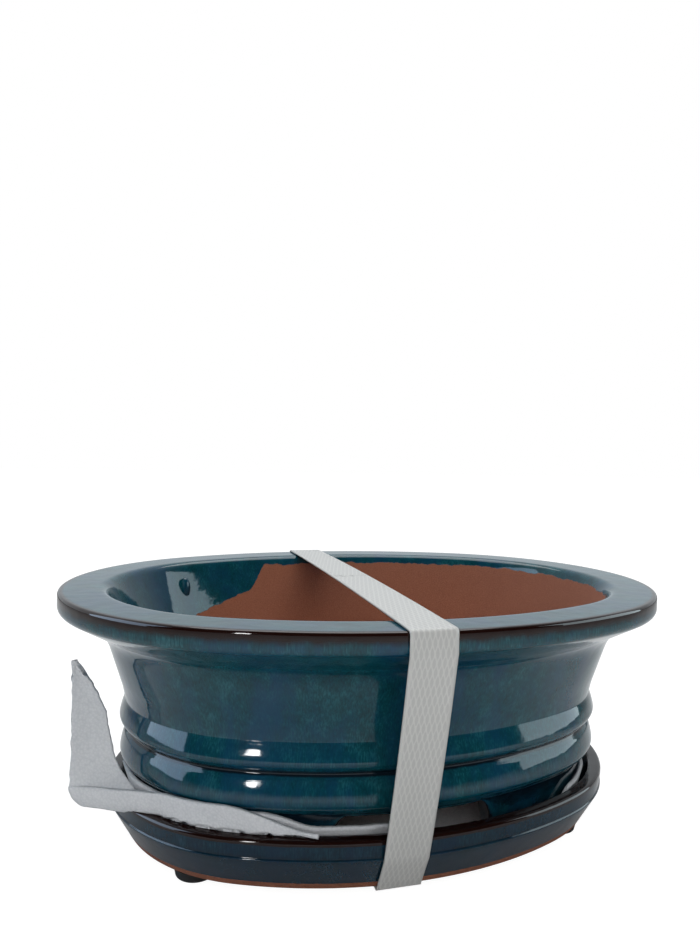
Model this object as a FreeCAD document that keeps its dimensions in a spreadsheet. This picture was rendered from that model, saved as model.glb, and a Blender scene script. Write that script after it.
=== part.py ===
"""Oval glazed bonsai pot standing on a foam sheet in its drip saucer, held together by one packing strap.

Frame: millimetres, +Z up, origin on the floor under the middle of the pot, +X along the pot's long side.
The pot, its foam and its saucer share one plan: an oval of four tangent arcs, set in or out by a constant
amount, so each ring is four revolutions about the same two pairs of upright axes.
"""
import FreeCAD, Part
import math
import os

import Sketcher
from FreeCAD import Vector

SIZES = [
    ("rim_length", 250.0, "outside length of the pot's rim"),
    ("rim_width", 192.0, "outside width of the pot's rim"),
    ("end_step", 8.0, "how much the plan radius of the rim's two ends falls short of half its width"),
    ("pot_height", 87.4, "pot, from its feet to the top of its rim"),
    ("rim_flat", 18.0, "breadth of the rim's flat top"),
    ("rim_edge", 7.0, "height of the rim's upright outer edge"),
    ("flare_inset", 17.5, "foot of the flare under the rim, in from the rim's edge"),
    ("flare_drop", 10.0, "height of the flare, below the rim's upright edge"),
    ("neck_inset", 25.4, "narrowest part of the neck, in from the rim's edge"),
    ("neck_height", 46.0, "bottom of the neck above the feet"),
    ("bead_inset", 23.8, "face of the upper moulding, in from the rim's edge"),
    ("bead_top", 43.4, "upper shoulder of the upper moulding above the feet"),
    ("bead_bottom", 37.6, "lower shoulder of the upper moulding above the feet"),
    ("groove_inset", 27.2, "bottom of the groove between the mouldings, in from the rim's edge"),
    ("groove_height", 32.9, "groove between the mouldings above the feet"),
    ("belly_inset", 24.8, "face of the lower moulding, in from the rim's edge"),
    ("belly_top", 28.9, "upper shoulder of the lower moulding above the feet"),
    ("belly_bottom", 22.2, "lower shoulder of the lower moulding above the feet"),
    ("skirt_inset", 27.9, "top of the foot skirt, in from the rim's edge"),
    ("skirt_height", 18.6, "top of the foot skirt above the feet"),
    ("foot_inset", 33.5, "outer edge of the feet on the ground, in from the rim's edge"),
    ("foot_wall", 9.0, "thickness of the foot skirt"),
    ("under_height", 19.6, "underside of the pot's floor above the feet"),
    ("floor_thickness", 7.0, "pot's floor"),
    ("wall_thickness", 7.2, "pot's wall at the neck"),
    ("rim_round", 1.2, "rounding of the rim's outer edges"),
    ("lip_round", 4.0, "rounding of the rim's inner edge"),
    ("cove_radius", 13.0, "hollow under the rim"),
    ("bead_round", 8.8, "rounding of the upper moulding"),
    ("belly_round", 9.4, "rounding of the lower moulding"),
    ("under_round", 2.4, "rounding where the foot skirt meets the pot's underside"),
    ("groove_round", 0.8, "rounding at the bottom of each groove"),
    ("arch_width", 52.0, "opening between the feet, at its top"),
    ("arch_spread", 7.0, "how much wider each side of that opening is at the ground"),
    ("arch_height", 17.8, "top of that opening above the feet"),
    ("arch_round", 6.0, "rounding of its upper corners"),
    ("drain_diameter", 14.0, "each drain hole"),
    ("drain_spacing", 84.0, "between the two drain holes"),
    ("core_radius", 13.0, "round the ends' axes, where the swept floor stops and the middle slab takes over"),
    ("core_overlap", 3.0, "how far the middle slab reaches into the swept floor"),
    ("saucer_inset", 20.0, "outer edge of the saucer's lip, in from the rim's edge"),
    ("saucer_height", 20.0, "saucer, without its rubber feet"),
    ("saucer_lip", 5.0, "breadth of the saucer's lip"),
    ("saucer_band", 6.8, "height of the band below the lip"),
    ("band_step", 0.5, "how far the band stands behind the ledge under it"),
    ("saucer_base_inset", 27.5, "bottom edge of the saucer, in from the rim's edge"),
    ("saucer_floor", 5.0, "saucer's floor"),
    ("saucer_well_inset", 29.2, "foot of the saucer's inner wall, in from the rim's edge"),
    ("saucer_round", 1.3, "rounding of the saucer's lip"),
    ("well_round", 3.0, "rounding where the saucer's wall meets its floor"),
    ("bumper_diameter", 16.0, "each rubber foot"),
    ("bumper_height", 3.6, "each rubber foot"),
    ("bumper_draft", 1.6, "how much smaller each rubber foot is on the ground"),
    ("bumper_round", 0.8, "rounding of each rubber foot's ground edge"),
    ("adhesive_thickness", 0.4, "adhesive disc between a rubber foot and the saucer"),
    ("adhesive_inset", 0.5, "adhesive disc's edge inside the rubber foot's"),
    ("bumper_margin", 0.5, "from the saucer's bottom edge to the nearest side of each rubber foot"),
    ("bumper_turn", 46.0, "degrees round each end's axis, from X to the rubber feet"),
    ("foam_thickness", 1.5, "foam sheet"),
    ("foam_gap", 0.3, "air between the foam's standing edge and the saucer's wall"),
    ("bedding_gap", 0.1, "air between the pot's feet and the foam"),
    ("collar_lean", 2.2, "how far the standing edge leans out over its own height"),
    ("collar_front", 20.0, "where the standing edge ends, left of the pot's middle"),
    ("tail_start", 66.0, "where the foam's right end starts to stand, right of the pot's middle"),
    ("tail_drop", 6.6, "how far the foam's right end stays below its left end"),
    ("tongue_reach", 22.4, "how far the foam tongue sticks out past the foot of its standing edge"),
    ("tongue_back", 21.5, "back face of the tongue, in front of the pot's middle"),
    ("tongue_depth", 7.0, "depth of the tongue's shelf over the saucer's lip"),
    ("tongue_drop", 23.7, "how far the tongue's top stays below the rim's top"),
    ("tongue_gap", 0.3, "air between the tongue's shelf and the saucer's lip"),
    ("tongue_clear", 2.2, "air between the tongue and the pot's mouldings"),
    ("strap_width", 16.0, "packing strap"),
    ("strap_thickness", 0.6, "packing strap"),
    ("strap_offset", 7.0, "middle of the strap, left of the pot's middle"),
    ("strap_gap", 0.2, "air between the strap and what it goes round"),
    ("strap_bend", 1.0, "inside radius of the strap's bends"),
]

doc = FreeCAD.newDocument("bonsai_pot")
sizes = doc.addObject("Spreadsheet::Sheet", "sizes")
for row, (alias, value, note) in enumerate(SIZES, start=1):
    sizes.set(f"A{row}", alias)
    sizes.set(f"B{row}", str(value))
    sizes.set(f"C{row}", note)
    sizes.setAlias(f"B{row}", alias)
doc.recompute()


def size(text):
    """Turns each size's name in a sum into its cell of the sheet, and keeps the sum together."""
    aliases = [alias for alias, _, _ in SIZES]
    words = [f"sizes.{word}" if word in aliases else word for word in text.split()]
    return f"({' '.join(words)})"


# Plan of the oval: the ends' axes lie on X, the sides' axes on Y, and one line through both passes each joint.
END_AXIS = size("rim_length / 2 - rim_width / 2 + end_step")
END_RADIUS = size("rim_width / 2 - end_step")
SIDE_STEP = size("end_step")
SIDE_AXIS = f"(({END_AXIS} ^ 2 - {SIDE_STEP} ^ 2) / (2 * {SIDE_STEP}))"
END_SWEEP = f"2 * atan2({SIDE_AXIS}; {END_AXIS})"
SIDE_SWEEP = f"180 - 2 * atan2({SIDE_AXIS}; {END_AXIS}) / 1 deg"
HALF = {"XZ_Plane": size("rim_length / 2"), "YZ_Plane": size("rim_width / 2")}
CORE_INSET = "rim_width / 2 - end_step - core_radius"

# Levels above the ground.
SAUCER_BASE = size("bumper_height + adhesive_thickness")
SAUCER_TOP = f"({SAUCER_BASE} + {size('saucer_height')})"
WELL = f"({SAUCER_BASE} + {size('saucer_floor')})"
FOAM_TOP = f"({WELL} + {size('foam_thickness')})"
POT_BASE = f"({FOAM_TOP} + {size('bedding_gap')})"
POT_TOP = f"({POT_BASE} + {size('pot_height')})"

ZERO = 1e-9
AXIS_LENGTH = 10
CUT_PAST = 1
LEAST_CUT = 1000


def origin_plane(body, role):
    """The body's own origin plane of that role."""
    return next(plane for plane in body.Origin.OriginFeatures if plane.Role == role)


def new_body(label):
    """An empty body that becomes the piece of that name."""
    body = doc.addObject("PartDesign::Body", label)
    body.Label = label
    return body


def new_sketch(body, name, role):
    """A sketch on one of the body's origin planes."""
    sketch = body.newObject("Sketcher::SketchObject", name)
    sketch.AttachmentSupport = [(origin_plane(body, role), "")]
    sketch.MapMode = "FlatFace"
    return sketch


def number(owner, expression):
    """The present value of an expression."""
    value = owner.evalExpression(expression)
    return float(getattr(value, "Value", value))


def pin(sketch, geometry, vertex, across, up):
    """Holds a sketch point at two expressions, each of either sign."""
    for kind, expression in (("DistanceX", across), ("DistanceY", up)):
        value = number(sketch, expression)
        if abs(value) < ZERO:
            axis = -2 if kind == "DistanceX" else -1
            sketch.addConstraint(Sketcher.Constraint("PointOnObject", geometry, vertex, axis))
            continue
        ends = (-1, 1, geometry, vertex) if value > 0 else (geometry, vertex, -1, 1)
        index = sketch.addConstraint(Sketcher.Constraint(kind, *ends, abs(value)))
        sketch.setExpression(f"Constraints[{index}]", expression if value > 0 else f"-({expression})")


def rounded_outline(sketch, corners):
    """Draws a closed outline of straight sides, with an arc at each corner that has a radius.

    A corner is (across, up) or (across, up, radius), each an expression. Every side passes through its two
    corners, so a rounded outline keeps the size of the sharp one.
    """
    points = [Vector(number(sketch, c[0]), number(sketch, c[1]), 0) for c in corners]
    count = len(corners)
    starts, ends, arcs = {}, {}, {}
    for i, corner in enumerate(corners):
        here, before, after = points[i], points[i - 1], points[(i + 1) % count]
        if len(corner) == 2:
            starts[i] = ends[i] = here
            continue
        back, forth = (before - here).normalize(), (after - here).normalize()
        half = back.getAngle(forth) / 2
        radius = number(sketch, corner[2])
        reach = radius / math.tan(half)
        ends[i], starts[i] = here + back * reach, here + forth * reach
        centre = here + (back + forth).normalize() * (radius / math.sin(half))
        middle = centre + (here - centre).normalize() * radius
        arcs[i] = Part.Arc(ends[i], middle, starts[i])
    sides = []
    for i in range(count):
        sides.append(sketch.addGeometry(Part.LineSegment(starts[i], ends[(i + 1) % count])))
    for i, corner in enumerate(corners):
        before, after = sides[i - 1], sides[i]
        if i not in arcs:
            sketch.addConstraint(Sketcher.Constraint("Coincident", before, 2, after, 1))
            pin(sketch, after, 1, corner[0], corner[1])
            continue
        arc = sketch.addGeometry(arcs[i])
        turned = (sketch.getPoint(arc, 1) - ends[i]).Length > (sketch.getPoint(arc, 2) - ends[i]).Length
        first, last = (2, 1) if turned else (1, 2)
        sketch.addConstraint(Sketcher.Constraint("Tangent", before, 2, arc, first))
        sketch.addConstraint(Sketcher.Constraint("Tangent", arc, last, after, 1))
        index = sketch.addConstraint(Sketcher.Constraint("Radius", arc, number(sketch, corner[2])))
        sketch.setExpression(f"Constraints[{index}]", corner[2])
        sharp = sketch.addGeometry(Part.Point(points[i]), True)
        sketch.addConstraint(Sketcher.Constraint("PointOnObject", sharp, 1, before))
        sketch.addConstraint(Sketcher.Constraint("PointOnObject", sharp, 1, after))
        pin(sketch, sharp, 1, corner[0], corner[1])


def upright_axis(sketch, across):
    """Draws the construction line that a section turns about."""
    at = number(sketch, across)
    line = sketch.addGeometry(Part.LineSegment(Vector(at, 0, 0), Vector(at, AXIS_LENGTH, 0)), True)
    sketch.addConstraint(Sketcher.Constraint("Vertical", line))
    pin(sketch, line, 1, across, "0")
    sketch.addConstraint(Sketcher.Constraint("DistanceY", line, 1, line, 2, AXIS_LENGTH))


def oval_ring(body, section):
    """Sweeps a section round the oval.

    section(half) gives the corners, with half the expression for half the rim's length or width. The end and
    the side that meet at one joint come first, and their mirror images close the ring.
    """
    made = {}
    for name, plane, axis, sweep in (
        ("end", "XZ_Plane", END_AXIS, END_SWEEP),
        ("side", "YZ_Plane", f"-{SIDE_AXIS}", SIDE_SWEEP),
    ):
        sketch = new_sketch(body, f"{body.Name}_{name}_section", plane)
        rounded_outline(sketch, section(HALF[plane]))
        upright_axis(sketch, axis)
        turn = body.newObject("PartDesign::Revolution", f"{body.Name}_{name}")
        turn.Profile = sketch
        turn.ReferenceAxis = (sketch, ["Axis0"])
        turn.Midplane = True
        turn.setExpression("Angle", sweep)
        doc.recompute()
        made[name] = turn
    for name, plane in (("side", "XZ_Plane"), ("end", "YZ_Plane")):
        mirror = body.newObject("PartDesign::Mirrored", f"{body.Name}_other_{name}")
        mirror.Originals = [made[name]]
        mirror.MirrorPlane = (origin_plane(body, plane), [""])
        body.Tip = mirror
        doc.recompute()


def slab(body, name, kind, low, high):
    """Adds or cuts a box given by its lowest and highest corners, each three expressions."""
    box = body.newObject(f"PartDesign::{kind}Box", name)
    for axis, side, a, b in zip("xyz", ("Length", "Width", "Height"), low, high):
        box.setExpression(side, f"({b}) - ({a})")
        box.setExpression(f"AttachmentOffset.Base.{axis}", a)
    box.AttachmentSupport = [(origin_plane(body, "XY_Plane"), "")]
    box.MapMode = "FlatFace"
    doc.recompute()


def volume(body):
    """The body's volume as it stands."""
    doc.recompute()
    return body.Shape.Volume


def middle_slab(body, bottom, top):
    """Closes the hole that a swept floor leaves in the middle."""
    reach_x = f"({HALF['XZ_Plane']} - {size(CORE_INSET)} + {size('core_overlap')})"
    reach_y = f"({HALF['YZ_Plane']} - {size(CORE_INSET)} + {size('core_overlap')})"
    slab(body, f"{body.Name}_middle", "Additive", (f"-{reach_x}", f"-{reach_y}", bottom), (reach_x, reach_y, top))


def pot_section(half):
    """The pot's wall, foot and floor, from the rim's outer edge down and round to the rim's inner edge."""

    def at(inset, height, *radius):
        return (f"{half} - {size(inset)}", f"{POT_BASE} + {size(height)}", *(size(r) for r in radius))

    return [
        at("0", "pot_height", "rim_round"),
        at("0", "pot_height - rim_edge", "2.5 * rim_round"),
        at("flare_inset", "pot_height - rim_edge - flare_drop", "cove_radius"),
        at("neck_inset", "neck_height", "groove_round"),
        at("bead_inset", "bead_top", "bead_round"),
        at("bead_inset", "bead_bottom", "bead_round"),
        at("groove_inset", "groove_height", "groove_round"),
        at("belly_inset", "belly_top", "belly_round"),
        at("belly_inset", "belly_bottom", "belly_round"),
        at("skirt_inset", "skirt_height", "groove_round"),
        at("foot_inset", "0", "rim_round"),
        at("foot_inset + foot_wall", "0", "rim_round"),
        at("skirt_inset + foot_wall", "under_height", "under_round"),
        at(CORE_INSET, "under_height"),
        at(CORE_INSET, "under_height + floor_thickness"),
        at("skirt_inset + wall_thickness", "under_height + floor_thickness", "2 * lip_round"),
        at("neck_inset + wall_thickness", "neck_height + wall_thickness", "4 * lip_round"),
        at("rim_flat", "pot_height", "lip_round"),
    ]


def make_pot():
    """Pot: swept wall, foot and floor, with an arch between the feet on each long side and two drain holes."""
    body = new_body("pot")
    oval_ring(body, pot_section)
    middle_slab(body, f"{POT_BASE} + {size('under_height')}", f"{POT_BASE} + {size('under_height + floor_thickness')}")
    before = volume(body)

    arch = new_sketch(body, "arch_outline", "XZ_Plane")
    top = f"{POT_BASE} + {size('arch_height')}"
    narrow, wide = size("arch_width / 2"), size("arch_width / 2 + arch_spread")
    rounded_outline(
        arch,
        [
            (f"-({narrow})", top, size("arch_round")),
            (narrow, top, size("arch_round")),
            (wide, f"{POT_BASE} - {CUT_PAST}"),
            (f"-({wide})", f"{POT_BASE} - {CUT_PAST}"),
        ],
    )
    arches = body.newObject("PartDesign::Pocket", "arches")
    arches.Profile = arch
    arches.Midplane = True
    arches.setExpression("Length", size("rim_width"))
    arched = volume(body)
    assert before - arched > LEAST_CUT, "the arches cut nothing"

    drains = new_sketch(body, "drain_outline", "XY_Plane")
    for side in (1, -1):
        at = side * number(drains, size("drain_spacing / 2"))
        radius = number(drains, size("drain_diameter / 2"))
        hole = drains.addGeometry(Part.Circle(Vector(at, 0, 0), Vector(0, 0, 1), radius))
        index = drains.addConstraint(Sketcher.Constraint("Radius", hole, radius))
        drains.setExpression(f"Constraints[{index}]", size("drain_diameter / 2"))
        pin(drains, hole, 3, f"{side} * {size('drain_spacing / 2')}", "0")
    holes = body.newObject("PartDesign::Pocket", "drain_holes")
    holes.Profile = drains
    holes.Midplane = True
    holes.setExpression("Length", f"2 * ({POT_TOP})")
    assert arched - volume(body) > LEAST_CUT, "the drain holes cut nothing"
    return body


def saucer_section(half):
    """The saucer's wall and floor, from its lip's outer edge down and round to the lip's inner edge."""

    def at(inset, level, *radius):
        return (f"{half} - {size(inset)}", level, *(size(r) for r in radius))

    ledge = f"{SAUCER_TOP} - {size('saucer_band')}"
    return [
        at("saucer_inset", SAUCER_TOP, "saucer_round"),
        at("saucer_inset + band_step", f"{ledge} + {size('band_step')}", "band_step"),
        at("saucer_inset", ledge, "band_step"),
        at("saucer_base_inset", SAUCER_BASE, "saucer_round"),
        at(CORE_INSET, SAUCER_BASE),
        at(CORE_INSET, WELL),
        at("saucer_well_inset", WELL, "well_round"),
        at("saucer_inset + saucer_lip", SAUCER_TOP, "saucer_round"),
    ]


def make_saucer():
    """Drip saucer: a tray on the pot's own plan."""
    body = new_body("saucer")
    oval_ring(body, saucer_section)
    middle_slab(body, SAUCER_BASE, WELL)
    return body


def make_bumper(where, side, front):
    """A rubber foot with its adhesive disc, under one quarter of the saucer."""
    radius = size("bumper_diameter / 2")
    reach = f"({END_RADIUS} - {size('saucer_base_inset + bumper_margin')} - {radius})"
    turn = size("bumper_turn * 1 deg")
    across = f"{side} * ({END_AXIS} + {reach} * cos({turn}))"
    along = f"{front} * {reach} * sin({turn})"
    sections = {
        f"rubber_foot_{where}": [
            ("0", "0"),
            (f"{radius} - {size('bumper_draft / 2')}", "0", size("bumper_round")),
            (radius, size("bumper_height")),
            ("0", size("bumper_height")),
        ],
        f"adhesive_disc_{where}": [
            ("0", size("bumper_height")),
            (f"{radius} - {size('adhesive_inset')}", size("bumper_height")),
            (f"{radius} - {size('adhesive_inset')}", SAUCER_BASE),
            ("0", SAUCER_BASE),
        ],
    }
    made = []
    for label, section in sections.items():
        body = new_body(label)
        sketch = new_sketch(body, f"{label}_section", "XZ_Plane")
        rounded_outline(sketch, section)
        disc = body.newObject("PartDesign::Revolution", f"{label}_turned")
        disc.Profile = sketch
        disc.ReferenceAxis = (sketch, ["V_Axis"])
        disc.Angle = 360
        body.setExpression("Placement.Base.x", across)
        body.setExpression("Placement.Base.y", along)
        made.append(body)
    return made


def foam_section(half):
    """The foam under the pot and its standing edge, which follows the saucer's wall up to the skirt's top."""
    gap = size("foam_gap")
    thick = size("foam_thickness")
    foot = f"{half} - {size('saucer_well_inset')} - {gap} - {size('well_round / 2')}"
    top = f"{half} - {size('saucer_inset + saucer_lip')} - {gap}"
    height = f"{POT_BASE} + {size('skirt_height')}"
    return [
        (f"{half} - {size(CORE_INSET)}", WELL),
        (foot, WELL, thick),
        (f"{top} - {size('collar_lean')}", f"{SAUCER_TOP} - {size('collar_lean')}"),
        (top, height),
        (f"{top} - {thick}", height),
        (f"{top} - {size('collar_lean')} - {thick}", f"{SAUCER_TOP} - {size('collar_lean')}"),
        (f"{foot} - {thick}", FOAM_TOP),
        (f"{half} - {size(CORE_INSET)}", FOAM_TOP),
    ]


def make_foam():
    """Foam sheet: flat under the pot, standing at both ends of the saucer, with a torn tongue at the left."""
    body = new_body("foam_sheet")
    oval_ring(body, foam_section)
    middle_slab(body, WELL, FOAM_TOP)
    whole = volume(body)
    half_x, half_y = HALF["XZ_Plane"], HALF["YZ_Plane"]
    right_of_collar = f"-{size('collar_front')}"
    start_of_tail = size("tail_start")
    high = POT_TOP
    slab(
        body, "low_sides", "Subtractive",
        (right_of_collar, f"-{half_y}", FOAM_TOP), (start_of_tail, half_y, high),
    )
    tail_top = f"{POT_BASE} + {size('skirt_height - tail_drop')}"
    slab(body, "low_tail", "Subtractive", (right_of_collar, f"-{half_y}", tail_top), (half_x, half_y, high))
    slab(body, "no_back", "Subtractive", (f"-{half_x}", "0", FOAM_TOP), (right_of_collar, half_y, high))
    assert whole - volume(body) > LEAST_CUT, "the foam's standing edge was not cut back"

    collar = f"({half_x} - {size('saucer_inset + saucer_lip + foam_gap + collar_lean')})"
    bend = f"({END_RADIUS} - {size('saucer_inset + saucer_lip + foam_gap + collar_lean / 2')})"
    joint = f"({END_AXIS} + sqrt({bend} ^ 2 - {size('tongue_back')} ^ 2) - {size('foam_thickness / 2')})"
    face = f"({half_x} - {size('bead_inset')})"
    shelf = f"{SAUCER_TOP} + {size('tongue_gap')}"
    back = f"-{size('tongue_back')}"
    tip = f"-({collar} + {size('tongue_reach')})"
    slab(
        body, "tongue_shelf", "Additive",
        (tip, f"{back} - {size('tongue_depth')}", shelf),
        (f"-{joint}", back, f"{shelf} + {size('foam_thickness')}"),
    )
    slab(
        body, "tongue", "Additive",
        (tip, f"{back} - {size('foam_thickness')}", shelf),
        (f"-({face} + {size('tongue_clear')})", back, f"{POT_BASE} + {size('pot_height - tongue_drop')}"),
    )
    return body


def make_strap():
    """Packing strap: one flat loop over the rim, down both long sides and under the saucer."""
    body = new_body("strap")
    sketch = new_sketch(body, "strap_route", "YZ_Plane")
    half = HALF["YZ_Plane"]
    gap = size("strap_gap")
    stations = [
        (f"{half} + {gap}", f"{POT_TOP} + {gap}"),
        (f"{half} + {gap}", f"{POT_TOP} - {size('rim_edge')}"),
        (f"{half} - {size('saucer_inset')} + {gap}", f"{SAUCER_TOP} - {size('saucer_band')}"),
        (f"{half} - {size('saucer_base_inset')} + {gap}", f"{SAUCER_BASE} - {gap}"),
    ]
    route = [(across, up) for across, up in stations]
    route += [(f"-({across})", up) for across, up in reversed(stations)]
    inner = strap_loop(sketch, route)
    outer_loop(sketch, inner)
    band = body.newObject("PartDesign::Pad", "band")
    band.Profile = sketch
    band.Midplane = True
    band.setExpression("Length", size("strap_width"))
    body.setExpression("Placement.Base.x", f"-{size('strap_offset')}")
    return body


def strap_loop(sketch, route):
    """Draws the strap's inner face and returns its arcs' numbers, in order."""
    first = sketch.GeometryCount
    rounded_outline(sketch, [(across, up, size("strap_bend")) for across, up in route])
    numbers = range(first, sketch.GeometryCount)
    return [i for i in numbers if isinstance(sketch.Geometry[i], Part.ArcOfCircle)]


def outer_loop(sketch, inner):
    """Draws the strap's outer face: arcs on the inner arcs' centres, joined by sides tangent to both."""
    thickness = number(sketch, size("strap_thickness"))
    outer, sides = [], []
    for i in inner:
        arc = sketch.Geometry[i]
        middle = arc.value((arc.FirstParameter + arc.LastParameter) / 2)
        spread = [
            arc.Center + (point - arc.Center) * ((arc.Radius + thickness) / arc.Radius)
            for point in (arc.StartPoint, middle, arc.EndPoint)
        ]
        outer.append((i, sketch.addGeometry(Part.Arc(*spread))))
    for place, (_, here) in enumerate(outer):
        after = outer[(place + 1) % len(outer)][1]
        gaps = [
            ((sketch.getPoint(here, a) - sketch.getPoint(after, b)).Length, a, b) for a in (1, 2) for b in (1, 2)
        ]
        _, a, b = min(gaps)
        side = sketch.addGeometry(Part.LineSegment(sketch.getPoint(here, a), sketch.getPoint(after, b)))
        sides.append((here, a, side, after, b))
    for i, here in outer:
        sketch.addConstraint(Sketcher.Constraint("Coincident", i, 3, here, 3))
        index = sketch.addConstraint(Sketcher.Constraint("Radius", here, sketch.Geometry[here].Radius))
        sketch.setExpression(f"Constraints[{index}]", size("strap_bend + strap_thickness"))
    for here, a, side, after, b in sides:
        sketch.addConstraint(Sketcher.Constraint("Tangent", here, a, side, 1))
        sketch.addConstraint(Sketcher.Constraint("Tangent", side, 2, after, b))


pieces = [make_pot(), make_saucer(), make_foam(), make_strap()]
for where, side, front in (
    ("front_left", -1, -1),
    ("front_right", 1, -1),
    ("back_left", -1, 1),
    ("back_right", 1, 1),
):
    pieces += make_bumper(where, side, front)
doc.recompute()

for thing in doc.Objects:
    bad = {"Invalid", "Error"} & set(thing.State)
    assert not bad, f"{thing.Label} is {thing.State}"
for piece in pieces:
    shape = piece.Shape
    assert not shape.isNull() and shape.isValid(), f"{piece.Label} has no valid shape"
    assert len(shape.Solids) == 1, f"{piece.Label} has {len(shape.Solids)} solids"

os.makedirs("parts", exist_ok=True)
for piece in pieces:
    piece.Shape.exportStep(f"parts/{piece.Label}.step")
    print(piece.Label, round(piece.Shape.Volume), piece.Shape.BoundBox)
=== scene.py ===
"""Looks of an oval glazed bonsai pot, its drip saucer, the foam sheet between them and the strap round both.

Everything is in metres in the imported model's frame: the floor at z 0, the pot's long side along X and its
front towards -Y. Sections are written in millimetres, because that is how a potter's drawing gives them.
"""

import logging
import math
from collections.abc import Callable, Sequence
from dataclasses import dataclass
from enum import Enum

import bmesh
import bpy
from mathutils import Matrix, Vector, noise
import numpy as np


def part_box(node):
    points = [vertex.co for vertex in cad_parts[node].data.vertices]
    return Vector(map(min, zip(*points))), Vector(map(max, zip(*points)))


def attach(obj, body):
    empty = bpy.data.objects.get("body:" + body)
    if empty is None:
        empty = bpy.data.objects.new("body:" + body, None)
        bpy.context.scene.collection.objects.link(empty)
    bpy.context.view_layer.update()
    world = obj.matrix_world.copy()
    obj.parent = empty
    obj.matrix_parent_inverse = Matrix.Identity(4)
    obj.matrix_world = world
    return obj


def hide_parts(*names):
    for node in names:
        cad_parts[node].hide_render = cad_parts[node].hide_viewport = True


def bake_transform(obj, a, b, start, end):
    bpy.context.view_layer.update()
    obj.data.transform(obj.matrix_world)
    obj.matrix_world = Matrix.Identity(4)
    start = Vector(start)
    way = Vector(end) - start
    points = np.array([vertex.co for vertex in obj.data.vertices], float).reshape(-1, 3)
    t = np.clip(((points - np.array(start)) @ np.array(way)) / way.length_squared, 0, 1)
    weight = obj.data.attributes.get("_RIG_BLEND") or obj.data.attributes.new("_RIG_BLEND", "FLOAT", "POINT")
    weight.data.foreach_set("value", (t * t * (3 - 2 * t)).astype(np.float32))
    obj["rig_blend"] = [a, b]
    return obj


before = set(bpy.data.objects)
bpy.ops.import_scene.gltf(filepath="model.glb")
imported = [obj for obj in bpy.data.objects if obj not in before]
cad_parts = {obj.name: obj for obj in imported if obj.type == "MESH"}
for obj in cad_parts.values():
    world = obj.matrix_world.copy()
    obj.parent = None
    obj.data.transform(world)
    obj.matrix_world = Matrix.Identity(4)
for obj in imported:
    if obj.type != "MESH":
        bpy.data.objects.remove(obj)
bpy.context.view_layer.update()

LOG = logging.getLogger("bonsai_pot")
MM = 0.001
UP = Vector((0, 0, 1))
MERGE_DISTANCE = 0.02 * MM
MARKS = ("thin", "pool_and_shade", "bare")


class Body(Enum):
    """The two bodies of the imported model."""

    POT = "pot"
    SAUCER = "saucer"


class Slot(Enum):
    """Names of material slots for the new pieces, which nothing in this script uses."""

    POT = "glazed_pot"
    SAUCER = "glazed_saucer"
    STRAP = "strapping"
    FOAM = "foam"


class LightKind(Enum):
    """What a light does: light everything, only show in gloss, or only fill shade."""

    FULL = "full"
    GLINT = "glint"
    FILL = "fill"


def blend_in(low: float, high: float, value: float) -> float:
    """Rises smoothly from 0 to 1.

    Args:
        low: Where it starts to rise.
        high: Where it reaches 1; below low if it falls with value.
        value: Where to read it.

    Returns:
        A share from 0 to 1.
    """
    share = min(max((value - low) / (high - low), 0.0), 1.0)
    return share * share * (3 - 2 * share)


def soft_min(a: float, b: float, softness: float) -> float:
    """The smaller of two values, rounded over where they cross.

    Args:
        a: One value.
        b: The other value.
        softness: How far apart the two are where the rounding starts.

    Returns:
        The rounded minimum.
    """
    share = min(max(0.5 + (b - a) / (2 * softness), 0.0), 1.0)
    return b + (a - b) * share - softness * share * (1 - share) / 2


def read_line(points: Sequence[tuple[float, float]], value: float) -> float:
    """Reads a line of straight stretches at a value, level before its start and after its end.

    Args:
        points: Value and reading at each corner, in rising order.
        value: Where to read.

    Returns:
        The reading.
    """
    for (low, near), (high, far) in zip(points, points[1:]):
        if value <= high:
            share = max((value - low) / (high - low), 0.0)
            return near + (far - near) * share
    return points[-1][1]


def linear(colour: str) -> tuple[float, float, float, float]:
    """Turns an sRGB hex colour to the linear RGBA that shaders take.

    Args:
        colour: Six hex digits after a #.

    Returns:
        Linear red, green, blue and an alpha of 1.
    """
    channels = [int(colour[i : i + 2], 16) / 255 for i in (1, 3, 5)]
    curve = [c / 12.92 if c <= 0.04045 else ((c + 0.055) / 1.055) ** 2.4 for c in channels]
    return (*curve, 1.0)


def add_node(
    tree: bpy.types.NodeTree,
    kind: str,
    settings: dict[str, object] | None = None,
    inputs: dict[str | int, object] | None = None,
    stops: Sequence[tuple[float, str]] = (),
) -> bpy.types.Node:
    """Adds a node with its settings, its inputs and its ramp.

    Args:
        tree: The node tree.
        kind: The node's type.
        settings: Properties of the node.
        inputs: Values for its sockets, or the sockets that feed them.
        stops: Places and hex colours, for a colour ramp.

    Returns:
        The node.
    """
    node = tree.nodes.new(kind)
    for name, value in (settings or {}).items():
        setattr(node, name, value)
    for name, value in (inputs or {}).items():
        if isinstance(value, bpy.types.NodeSocket):
            tree.links.new(value, node.inputs[name])
        else:
            node.inputs[name].default_value = value
    if stops:
        ramp = node.color_ramp.elements
        while len(ramp) < len(stops):
            ramp.new(1.0)
        for element, (place, colour) in zip(ramp, stops):
            element.position = place
            element.color = linear(colour)
    return node


def new_material(name: str) -> tuple[bpy.types.Material, bpy.types.NodeTree]:
    """An empty node material.

    Args:
        name: The material's name.

    Returns:
        The material and its node tree.
    """
    material = bpy.data.materials.new(name)
    material.use_nodes = True
    material.node_tree.nodes.clear()
    return material, material.node_tree


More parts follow.
